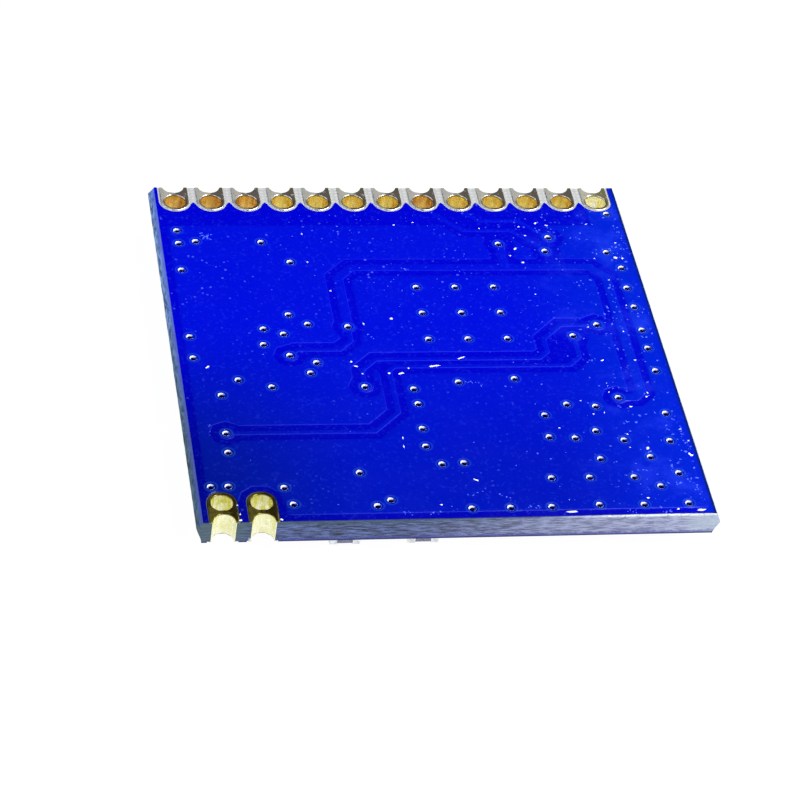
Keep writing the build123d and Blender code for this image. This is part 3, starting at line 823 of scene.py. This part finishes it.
def makeLaminate():
    reach = plateHigh.x - halfWidth
    w, l = halfWidth, halfLength
    loops = [boardOutline(w, l, laminate["edgeStep"])]
    loops += [circle(place, board["viaRadius"], viaShape["steps"]) for place in vias]
    for pad in pads:
        radius = pad["drilling"] / 2 + board["plating"]
        loops += [placed(circle((0, step), radius, 32), pad) for step in (0, board["drillingStep"])]

    def inside(x, y):
        clear = viaGap(x, y) > -viaShape["play"] and not inPadDrilling(x, y)
        return clear and abs(x) < w and abs(y) < l

    places, triangles, _ = triangulate(loops, inside=inside)
    levels = len(laminate["depths"])
    crushed = []

    def placeAt(x, y, level, onRim):
        down = laminate["depths"][level]
        between = 0 < level < levels - 1
        rim = rimAt(x) if level < 2 and y < -l + 1e-4 else 0.0
        # Share of the painted highlight, which grows with the chamfer's depth
        white = min(1.0, rim / laminate["whiteFrom"])
        if level == 0 and rim > 0:
            y += rim
        if abs(abs(x) - w) < 1e-4 and between:
            drop = laminate["leftRidge"] if x < 0 else laminate["rightRidge"]
            share = down / drop if down < drop else (thick - down) / (thick - drop)
            rough = laminate["roughSide"] * (0.5 + 0.5 * wander(x, y * 3.1, down * 9))
            bite = laminate["bite"] * smooth(wander(x, y * 0.9, 2) * 1.5)
            x += math.copysign(max(0.0, share * (reach - bite) - rough), x)
        if abs(abs(y) - l) < 1e-4 and between:
            rough = laminate["roughEnd"] * (0.5 + 0.5 * wander(x * 2.2, y, down * 14))
            y -= math.copysign(max(0.0, rough), y)
        crushed.append(white)
        return (x, y, plateHigh.z - down)

    points, faces, _ = slab(places, triangles, levels, placeAt)
    piece = makePiece("glass_epoxy_board", points, faces, laminateLook,
                      ["laminate"], "glass_epoxy", 32)
    piece.data.attributes.new("crushed", "FLOAT", "POINT").data.foreach_set("value", crushed)
    print("laminate:", len(piece.data.polygons), "faces")


makeLaminate()

padForm = {
    "roundOver": [(0.030, 0.0), (0.015, 0.004), (0.004, 0.015), (0.0, 0.030)],  # inset and depth
    "steps": 28, "arcSteps": 18, "copper": 0.035, "wallLevels": 7, "wobble": 0.006,
}


def padOutline(pad, inset):
    # Pad in its own plane, full drilling at the origin and the board's edge up at its reach
    radius = pad["width"] / 2 - inset
    bore = pad["drilling"] / 2 + inset
    edge, step = pad["reach"] - inset, board["drillingStep"]
    half = math.sqrt(bore ** 2 - (edge - step) ** 2)
    start = math.atan2(edge - step, half)
    steps = padForm["arcSteps"]
    notch = arc((0, step), bore, start, -math.pi - start, steps)
    inner = arc((0, 0), radius, math.pi, 2 * math.pi, steps)
    return inner + [(radius, edge)] + notch + [(-radius, edge)]


def addFlange(points, faces, pad, topZ, down):
    # One face of a pad with its rounded rims; down is 1 for the upper face and -1 for the lower
    half, steps = pad["drilling"] / 2, padForm["steps"]
    profile = padForm["roundOver"] + [(0.0, padForm["copper"])]
    outer, inner = [], []
    for inset, depth in profile:
        outer.append(addRing(points, padOutline(pad, inset), topZ - down * depth))
        bore = circle((0, 0), half + inset, steps)
        inner.append(addRing(points, bore, topZ - down * depth))
    made = []
    for i in range(len(profile) - 1):
        wall(made, outer[i], outer[i + 1])
        wall(made, inner[i + 1], inner[i])
    for level, flip in ((0, False), (-1, True)):
        inset = profile[level][0]
        loops = [padOutline(pad, inset), circle((0, 0), half + inset, steps)]

        def inside(x, y):
            if min(math.hypot(x, y), math.hypot(x, y - board["drillingStep"])) < half:
                return False
            return y > 0 or math.hypot(x, y) < pad["width"] / 2

        _, triangles, runs = triangulate(loops, inside=inside)
        names = {}
        for run, ring in zip(runs, (outer[level], inner[level])):
            names.update(zip(run, ring))
        kept = [tuple(names[i] for i in t) for t in triangles]
        made += [tuple(reversed(t)) for t in kept] if flip else kept
    faces += made if down > 0 else [tuple(reversed(f)) for f in made]


def addBarrel(points, faces, bore, centre, start, closed, seed):
    # A plated wall: a whole tube, or the part of one that the board's edge leaves
    skin = board["plating"]
    levels = padForm["wallLevels"]
    if closed:
        angles = outAngles = turns(0, 2 * math.pi, padForm["steps"])[:-1]
    else:
        angles = turns(start, -math.pi - start, padForm["arcSteps"])
        tilt = math.asin(math.sin(start) * bore / (bore + skin))
        outAngles = turns(tilt, -math.pi - tilt, padForm["arcSteps"])
    fixed = () if closed else (angles[0], angles[-1])
    rings = []
    for k in range(levels):
        z = plateHigh.z - thick * k / (levels - 1)
        loop = []
        for a in angles:
            radius = bore
            if 0 < k < levels - 1 and a not in fixed:
                place = (math.cos(a) * 2.5 + seed, math.sin(a) * 2.5, z * 3)
                radius += padForm["wobble"] * wander(*place)
            loop += onCircle(centre, radius, [a])
        rings.append(addRing(points, loop, z))
    back = onCircle(centre, bore + skin, outAngles)
    outer = [addRing(points, back, z) for z in (plateHigh.z, plateLow.z)]
    made = []
    for k in range(levels - 1):
        wall(made, rings[k + 1], rings[k], closed)
    wall(made, outer[0], outer[1], closed)
    wall(made, rings[0], outer[0], closed)
    wall(made, outer[1], rings[-1], closed)
    if not closed:
        for i, flip in ((0, False), (-1, True)):
            side = [ring[i] for ring in rings] + [outer[1][i], outer[0][i]]
            made.append(tuple(side) if flip else tuple(reversed(side)))
    faces += made if closed else [tuple(reversed(f)) for f in made]


def makePad(pad, material):
    points, faces = [], []
    addFlange(points, faces, pad, plateHigh.z + padForm["copper"], 1)
    addFlange(points, faces, pad, plateLow.z - padForm["copper"], -1)
    bore, step = pad["drilling"] / 2, board["drillingStep"]
    addBarrel(points, faces, bore, (0, 0), 0, True, pad["x"])
    start = math.asin((pad["reach"] - step) / bore)
    addBarrel(points, faces, bore, (0, step), start, False, pad["x"] + 40)
    points = [(*placed([(x, y)], pad)[0], z) for x, y, z in points]
    makePiece("plated_" + pad["name"], points, faces, material, [pad["name"]], "plated_gold", 35)


padTones = {1: amberGold, 2: amberGold, 3: amberGold, 8: amberGold, 13: brightGold}
for pad in pads:
    makePad(pad, cleanGold if pad["way"] < 0 else padTones.get(int(pad["name"][-2:]), padGold))
print("pads made:", len(pads))


def addBead(points, faces, centre, radius, top):
    rings = []
    for angle in (0.35, 0.8, 1.3, 1.9, 2.5):
        loop = circle(centre, radius * math.sin(angle), 10)
        rings.append(addRing(points, loop, top - radius * (1 - math.cos(angle))))
    for a, b in zip(rings, rings[1:]):
        wall(faces, a, b)
    faces.append(tuple(rings[0]))
    faces.append(tuple(reversed(rings[-1])))


def makeVias():
    points, faces = [], []
    foot, skin, play = plateLow.z + viaShape["foot"], -viaShape["skin"], -viaShape["play"]
    profile = [(grow, maskHigh.z - depth) for grow, depth in viaShape["lip"]]
    profile += [(skin, plateHigh.z - viaShape["flare"]), (skin, foot)]
    profile += [(play, foot), (play, plateHigh.z)]
    for via in vias:
        rings = []
        for grow, z in profile:
            loop = circle(via, board["viaRadius"] + grow, viaShape["steps"])
            rings.append(addRing(points, loop, z))
        for a, b in zip(rings, rings[1:] + rings[:1]):
            wall(faces, b, a)
    for x, y in viaShape["beads"]:
        via = vias[viaTree.find((x, y, 0))[1]]
        centre = [a + b for a, b in zip(via, viaShape["beadAside"])]
        addBead(points, faces, centre, viaShape["beadRadius"], maskHigh.z - viaShape["beadDown"])
    makePiece("via_barrels", points, faces, viaPlating, (), "tin", 60)
    print("via barrels made:", len(vias))


makeVias()


wear = {"segments": 2, "hardAngle": 30, "flatAngle": 1, "chipWidth": 0.02}


def softened(name, nodeName, width, material, slot):
    # A CAD node's form with its hard edges worn round
    work = bmesh.new()
    work.from_mesh(cadNodes[nodeName].data)
    bmesh.ops.scale(work, vec=(1 / mm,) * 3, verts=work.verts)
    bmesh.ops.remove_doubles(work, verts=work.verts, dist=1e-4)
    flat, hard = math.radians(wear["flatAngle"]), math.radians(wear["hardAngle"])
    bmesh.ops.dissolve_limit(work, angle_limit=flat, verts=work.verts, edges=work.edges)
    edges = [e for e in work.edges if len(e.link_faces) == 2 and e.calc_face_angle(0) > hard]
    bmesh.ops.bevel(work, geom=edges, offset=width, segments=wear["segments"], affect="EDGES",
                    profile=0.5, clamp_overlap=True)
    bmesh.ops.triangulate(work, faces=[f for f in work.faces if len(f.verts) > 4])
    points = [tuple(v.co) for v in work.verts]
    work.verts.index_update()
    faces = [tuple(v.index for v in f.verts) for f in work.faces]
    work.free()
    makePiece(name, points, faces, material, [nodeName], slot)


hidden = {  # name, width of the rounding, material, slot
    "part_side_mask": ("blue_mask_part_side", 0.010, solderMask, "solder_mask"),
    "transceiver_body": ("moulded_transceiver", 0.05, moulding, "moulding"),
    "transceiver_leads": ("tinned_transceiver_leads", 0.015, tin, "tin"),
    "crystal_base": ("ceramic_crystal_case", 0.03, alumina, "ceramic_case"),
    "crystal_lid": ("nickel_crystal_lid", 0.03, nickel, "nickel_lid"),
    "crystal_terminals": ("tinned_crystal_terminals", 0.008, tin, "tin"),
    "antenna_switch_body": ("moulded_antenna_switch", 0.04, moulding, "moulding"),
    "antenna_switch_leads": ("tinned_switch_leads", 0.012, tin, "tin"),
    "capacitor_end_caps": ("tinned_capacitor_ends", 0.02, tin, "tin"),
    "inductor_end_caps": ("tinned_inductor_ends", 0.02, tin, "tin"),
    "resistor_end_caps": ("tinned_resistor_ends", 0.02, tin, "tin"),
    "solder_joints": ("reflowed_solder_joints", 0.02, solder, "tin"),
}
for nodeName, (name, width, material, slot) in hidden.items():
    softened(name, nodeName, width, material, slot)
chips = {"capacitor": capacitorCeramic, "inductor": inductorCeramic, "resistor": resistorGlass}
for nodeName in sorted(cadNodes):
    for kind, material in chips.items():
        if nodeName.startswith(kind + "_") and "end_caps" not in nodeName:
            softened("fired_" + nodeName, nodeName, wear["chipWidth"], material, kind + "_body")
print("hidden side dressed")

dust = {
    "seed": 5, "count": 330, "white": 14, "jitter": 0.08, "top": maskHigh.z - 0.0005,
    "radiusMm": (0.012, 0.027), "runRadiusMm": (0.012, 0.032), "sizes": (0.7, 0.8, 1.0, 1.2),
    "across": (-8.1, 8.1), "along": (-8.2, 7.3), "clear": 0.08, "turn": 3.1,
    # The flecks that stand out: x, y, radius, stretch, turn
    "flecks": [
        (7.65, 4.5, 0.070), (7.9, 4.45, 0.045), (6.7, -5.4, 0.055, 1.3, 1.3),
        (8.1, -5.75, 0.055, 1.4, 0.2), (4.25, 4.25, 0.052, 1.1), (4.1, 5.0, 0.050, 1.4, 0.6),
        (-0.9, 1.25, 0.052), (5.1, 6.45, 0.045, 1.4, 0.7), (-1.4, -1.55, 0.040, 1.4, 0.2),
        (-0.98, -1.55, 0.045, 2.4, 0.3), (-7.45, -1.15, 0.035, 2.6, 0.8), (6.2, -7.75, 0.040, 1.2),
        (6.05, -1.0, 0.036, 1.9, 0.4), (-0.05, 6.35, 0.040), (-2.47, -1.17, 0.035, 2.2, -0.3),
        (-2.6, -0.95, 0.036, 1.4), (6.55, -3.35, 0.036, 1.9), (-3.4, 5.85, 0.036, 1.3, 1.2),
        (7.2, -2.85, 0.040), (-0.65, -7.9, 0.036, 1.4, 0.1), (4.45, 6.25, 0.036, 1.3),
        (6.15, -4.7, 0.036, 1.2), (-1.9, 1.0, 0.030, 1.9, 1.9), (4.6, 5.75, 0.034, 1.2),
        (-0.7, -1.3, 0.036), (3.9, -4.35, 0.036, 1.1), (0.65, 6.5, 0.034, 1.1),
        (-2.8, 2.75, 0.036, 1.1), (7.2, -1.0, 0.034, 1.2), (3.0, 6.15, 0.034), (5.9, 0.75, 0.034),
        (7.1, 0.5, 0.034), (5.2, -3.7, 0.034), (-2.3, -1.55, 0.030, 1.2), (8.0, -4.5, 0.036, 1.4),
        (7.5, 1.9, 0.032, 1.2, 1.5), (-3.4, 4.3, 0.034), (6.87, 4.45, 0.032),
        (5.5, 6.3, 0.030, 1.3, 0.8), (3.58, -8.31, 0.042, 4.6, 0.03),
        (7.87, -8.34, 0.046, 3.6, 0.03), (7.1, -8.28, 0.036, 1.8, 0.5), (6.1, -5.35, 0.030),
        (0.22, -1.2, 0.036, 5.5, 0.18), (1.18, -0.80, 0.030, 5.0, 0.45),
        (0.68, -6.78, 0.030, 3.6, -0.6), (-7.17, -8.42, 0.045, 1.4), (-7.15, -8.15, 0.034),
        (-7.2, -7.75, 0.026, 1.2), (-5.87, -8.42, 0.045, 1.2), (8.17, -5.05, 0.036, 1.2),
        (-1.45, -5.15, 0.024, 3.0, 1.6), (-1.42, -4.73, 0.024, 2.6, 1.5),
    ],
    # Runs of small crumbs: x and y of both ends, and how many
    "runs": [
        (-7.0, 5.85, -6.6, 5.55, 13), (-6.95, 5.6, -6.6, 5.8, 11), (1.1, -2.05, 1.45, -2.05, 6),
        (1.45, -2.05, 1.7, -2.2, 4), (6.45, -8.36, 6.95, -8.36, 6), (5.35, -8.32, 5.7, -8.34, 5),
        (-1.95, -8.2, -1.6, -8.24, 5), (-1.1, -8.25, -0.7, -8.25, 5), (5.55, -1.1, 5.8, -0.95, 4),
        (-7.8, -4.6, -7.7, -3.9, 5), (4.9, 5.9, 5.6, 6.3, 5), (7.3, 5.0, 7.9, 4.6, 6),
        (7.9, -3.6, 8.1, -4.6, 7), (6.9, -7.2, 7.9, -6.9, 8), (-1.9, 0.5, -1.7, 0.2, 4),
        (2.1, -8.0, 2.6, -8.1, 5), (7.7, -6.6, 8.1, -7.9, 14), (7.3, -6.3, 7.7, -6.0, 6),
        (7.95, -4.5, 8.15, -5.6, 11), (8.0, 6.4, 8.15, 5.0, 9), (0.3, -7.5, 1.0, -7.2, 5),
        (1.3, -7.4, 1.7, -7.7, 4),
    ],
}


def addCrumb(points, faces, rng, x, y, radius, stretch=1.0, turn=0):
    count = 7 if stretch < 2 else 12
    level = maskHigh.z - mask["plateau"] - mask["relief"] * (1 - copperAt(x, y))
    top = min(dust["top"], level + radius * 0.35)
    rim, crown = [], []
    for i in range(count):
        a = 2 * math.pi * i / count
        r = radius * rng.uniform(0.7, 1.2)
        dx, dy = r * math.cos(a) * stretch, r * math.sin(a)
        px = x + dx * math.cos(turn) - dy * math.sin(turn)
        py = y + dx * math.sin(turn) + dy * math.cos(turn)
        rim.append((px, py))
        crown.append((x + (px - x) * 0.6, y + (py - y) * 0.6))
    low = addRing(points, rim, level - 0.006)  # its foot is sunk in the mask
    mid = addRing(points, rim, level + 0.0005)
    high = addRing(points, crown, top)
    wall(faces, mid, low)
    wall(faces, high, mid)
    faces.append(tuple(high))
    faces.append(tuple(reversed(low)))


def makeDust():
    rng = random.Random(dust["seed"])
    spots = []
    while len(spots) < dust["count"]:
        x = rng.uniform(*dust["across"])
        y = rng.uniform(*dust["along"])
        # More of it shows towards the right, and some at the top
        aloft = smooth((y + 1) / 6) * smooth((x + 5) / 6)
        if rng.random() > 0.03 + 0.97 * smooth((x - 1) / 6.5) + 0.4 * aloft:
            continue
        if viaGap(x, y) < dust["clear"] or inPadOpening(x, y, dust["clear"]):
            continue
        coarse = smooth((x - 4) / 4)
        radius = rng.uniform(*dust["radiusMm"]) * rng.choice(dust["sizes"]) * (1 + 0.55 * coarse)
        spots.append((x, y, radius, rng.uniform(1.0, 1.5 + coarse), rng.uniform(0, dust["turn"])))
    for ax, ay, bx, by, count in dust["runs"]:
        for i in range(count):
            t = (i + rng.uniform(0.1, 0.9)) / count
            x, y = ax + (bx - ax) * t, ay + (by - ay) * t
            x, y = [v + rng.uniform(-dust["jitter"], dust["jitter"]) for v in (x, y)]
            radius = rng.uniform(*dust["runRadiusMm"])
            spots.append((x, y, radius, rng.uniform(1.0, 2.0), rng.uniform(0, dust["turn"])))
    white, pale = dust["flecks"] + spots[:dust["white"]], spots[dust["white"]:]
    for name, look, chosen in (("dust_flecks", dustLook, white), ("dust_haze", hazeLook, pale)):
        points, faces = [], []
        for spot in chosen:
            addCrumb(points, faces, rng, *spot)
        makePiece(name, points, faces, look, (), None, 60)
    print("dust flecks:", len(spots) + len(dust["flecks"]))


makeDust()

studio = {
    "floorHalf": 3.0, "floorTone": "#F7F7F7", "floorGlow": 0.92, "glowLevel": 1.06,
    "worldTone": "#5A6068", "worldLevel": 0.07,
    # place in mm, what it aims at, size in mm, watts, colour
    "lamps": {
        "overheadRight": ((120, 10, 190), (0, 0, 1), 170, 0.50, "#FFFFFF"),
        "frontRight": ((150, -130, 200), (0, 0, 1), 190, 0.43, "#FFFFFF"),
        "frontLeft": ((-150, -170, 110), (0, 0, 1), 150, 0.13, "#F4F8FF"),
        "left": ((-190, 25, 115), (0, 0, 1), 190, 0.16, "#C8DAFF"),
    },
    # The photo's camera: place in mm, which way is right, up and ahead, lens and sensor in mm
    "cameraPlace": (-20.60, -76.74, 68.36), "right": (0.9815, -0.1499, 0.1194),
    "up": (0.0114, 0.6678, 0.7444), "ahead": (0.1912, 0.7292, -0.6571),
    "lens": 138.0, "sensor": 36.0,
}


def makeFloor():
    # White paper sweep, matte: it glows a little for what sees it, and keeps the shadow
    half = studio["floorHalf"]
    corners = [(-half, -half, 0), (half, -half, 0), (half, half, 0), (-half, half, 0)]
    mesh = bpy.data.meshes.new("floor")
    mesh.from_pydata(corners, [], [(0, 1, 2, 3)])
    material, shader, add, _ = newMaterial("white_paper_sweep", Roughness=0.9)
    shader.inputs["Base Color"].default_value = linear(studio["floorTone"])
    rays = add("LightPath").node.outputs
    seen = add("Math", [rays["Is Camera Ray"], rays["Is Glossy Ray"]], **plus)
    seen = add("Math", [seen, rays["Is Transmission Ray"]], use_clamp=True, **plus)
    share = add("Math", [seen, studio["floorGlow"]], **times)
    glow = add("Emission", {"Strength": studio["glowLevel"]})
    both = add("MixShader", [share, shader.outputs[0], glow])
    tree = material.node_tree
    tree.links.new(both, tree.nodes["Material Output"].inputs["Surface"])
    mesh.materials.append(material)
    newObject("floor", mesh)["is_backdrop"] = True


def makeLamps():
    for name, (place, target, size, watts, tone) in studio["lamps"].items():
        lamp = bpy.data.lights.new(name, "AREA")
        lamp.shape = "DISK"
        lamp.size = size * mm
        lamp.energy = watts
        lamp.color = linear(tone)[:3]
        holder = newObject(name, lamp)
        aim = (Vector(target) - Vector(place)).normalized().to_track_quat("-Z", "Y")
        holder.matrix_world = Matrix.Translation(Vector(place) * mm) @ aim.to_matrix().to_4x4()
    world = bpy.data.worlds.new("studio")
    bpy.context.scene.world = world
    world.use_nodes = True
    sky = world.node_tree.nodes["Background"]
    sky.inputs["Color"].default_value = linear(studio["worldTone"])
    sky.inputs["Strength"].default_value = studio["worldLevel"]


def makeCamera():
    right, up, ahead = [Vector(studio[way]) for way in ("right", "up", "ahead")]
    camera = bpy.data.cameras.new("photoView")
    camera.lens = studio["lens"]
    camera.sensor_width = studio["sensor"]
    camera.clip_start = 1 * mm
    holder = newObject("photoView", camera)
    turn = Matrix((right, up, -ahead)).transposed().to_4x4()
    holder.matrix_world = Matrix.Translation(Vector(studio["cameraPlace"]) * mm) @ turn
    bpy.context.scene.camera = holder


makeFloor()
makeLamps()
makeCamera()
bpy.context.scene.view_settings.view_transform = "Standard"
print("studio ready")

bothBounds = {"cad": cadBounds, "visual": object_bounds()}
sizes = {key: [list(corner) for corner in bounds] for key, bounds in bothBounds.items()}
